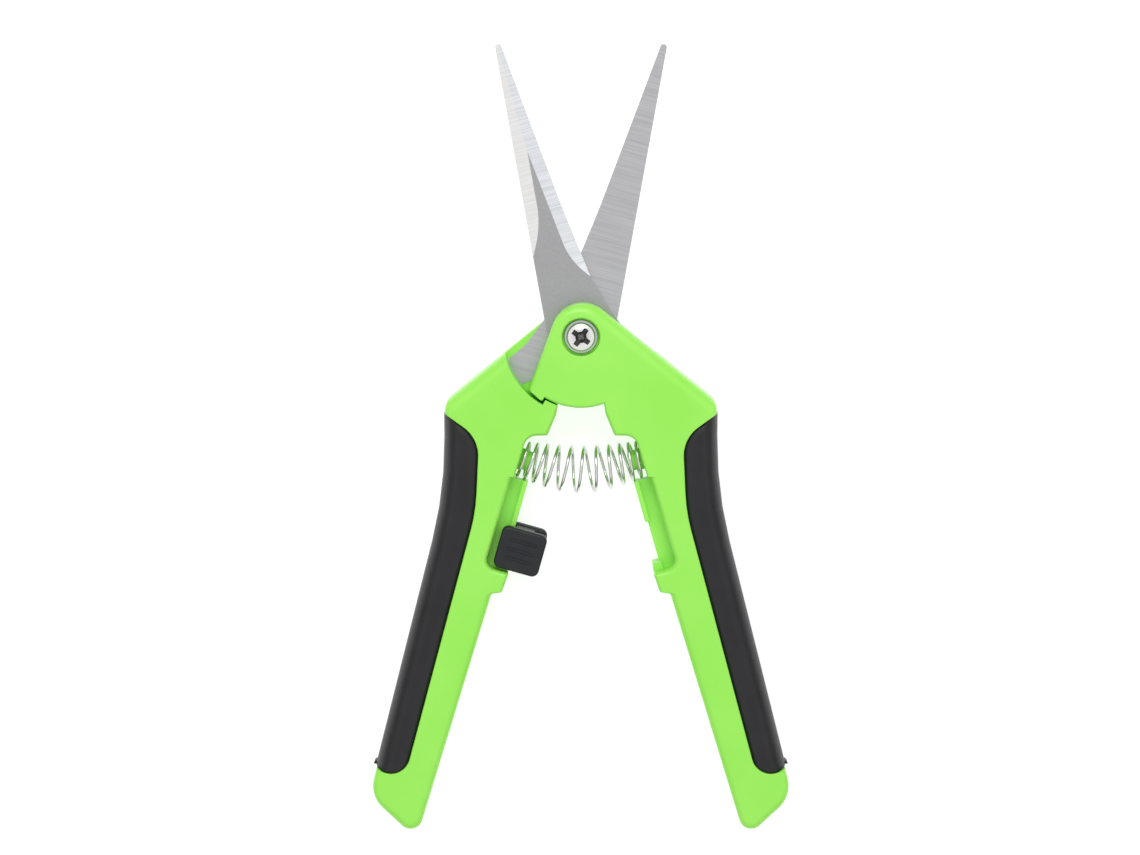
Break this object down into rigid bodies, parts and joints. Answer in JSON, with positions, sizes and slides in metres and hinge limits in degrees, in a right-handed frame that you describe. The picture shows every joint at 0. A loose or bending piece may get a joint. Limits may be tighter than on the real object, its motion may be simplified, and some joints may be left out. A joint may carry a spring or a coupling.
{
  "type": "floral snips",
  "caption": "Spring-opened floral snips: two narrow pointed ground blades, half-lapped moulded handles with soft outer grips, a pivot screw and a slide lock.",
  "frame": {"origin": "middle of the base: centre of the object's box in X and Y, on the flat back faces of the handles in Z", "axes": "+X to the right seen from the front, +Y from the handles towards the blade tips, +Z from the back face to the front face, where the screw head is; the snips lie flat and open"},
  "size_m": [0.0956, 0.1801, 0.014],
  "materials": {
    "handle_plastic": "satin moulded lime green",
    "grip_rubber": "fine matt soft-touch charcoal",
    "blade_steel": "ground stainless with fine lines",
    "lock_plastic": "fine textured black",
    "bright_steel": "bright plated",
    "nylon": "natural",
    "spring_steel": "bright drawn wire"
  },
  "bodies": {
    "rear_half": {"left_handle": "handle_plastic", "left_grip": "grip_rubber", "rear_blade": "blade_steel", "pivot_screw": "bright_steel", "head_washer": "bright_steel", "pivot_nut": "bright_steel", "nut_ring": "nylon", "return_spring": "spring_steel"},
    "front_half": {"right_handle": "handle_plastic", "right_grip": "grip_rubber", "front_blade": "blade_steel"},
    "lock": {"lock_slider": "lock_plastic"}
  },
  "joints": [
    {"name": "pivot", "type": "hinge", "parent": "rear_half", "child": "front_half", "pos_m": [0, 0.02423, 0.007], "axis": [0, 0, -1], "range_deg": [0, 31.5], "stiffness_Nm_per_rad": 0.5, "springref_deg": -11.46, "deforming": ["return_spring"]},
    {"name": "lock_slide", "type": "slide", "parent": "rear_half", "child": "lock", "axis": [0.2714, 0.9625, 0], "range_m": [0, 0.009]}
  ]
}
